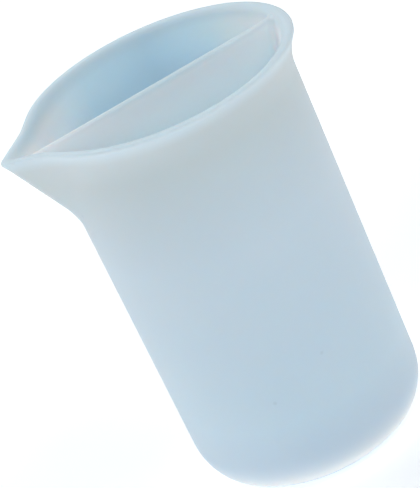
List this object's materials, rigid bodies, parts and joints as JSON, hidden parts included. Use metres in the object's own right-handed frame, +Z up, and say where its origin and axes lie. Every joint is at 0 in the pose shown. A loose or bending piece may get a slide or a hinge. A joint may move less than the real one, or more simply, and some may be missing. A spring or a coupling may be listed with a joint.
{
  "type": "split pouring cup",
  "caption": "Soft moulded beaker with a flared lip, a V-shaped pouring spout and an upright divider that makes two compartments.",
  "frame": {"origin": "centre of the flat base, on the cup's axis", "axes": "+Z up along the cup's axis; -X towards the spout, so the divider lies in the XZ plane; +Y towards the back compartment"},
  "size_m": [0.0872, 0.0782, 0.1203],
  "materials": {
    "silicone": "pale translucent blue silicone, matt"
  },
  "bodies": {
    "root": {"cup_body": "silicone", "pouring_rim": "silicone", "divider": "silicone"}
  },
  "joints": []
}
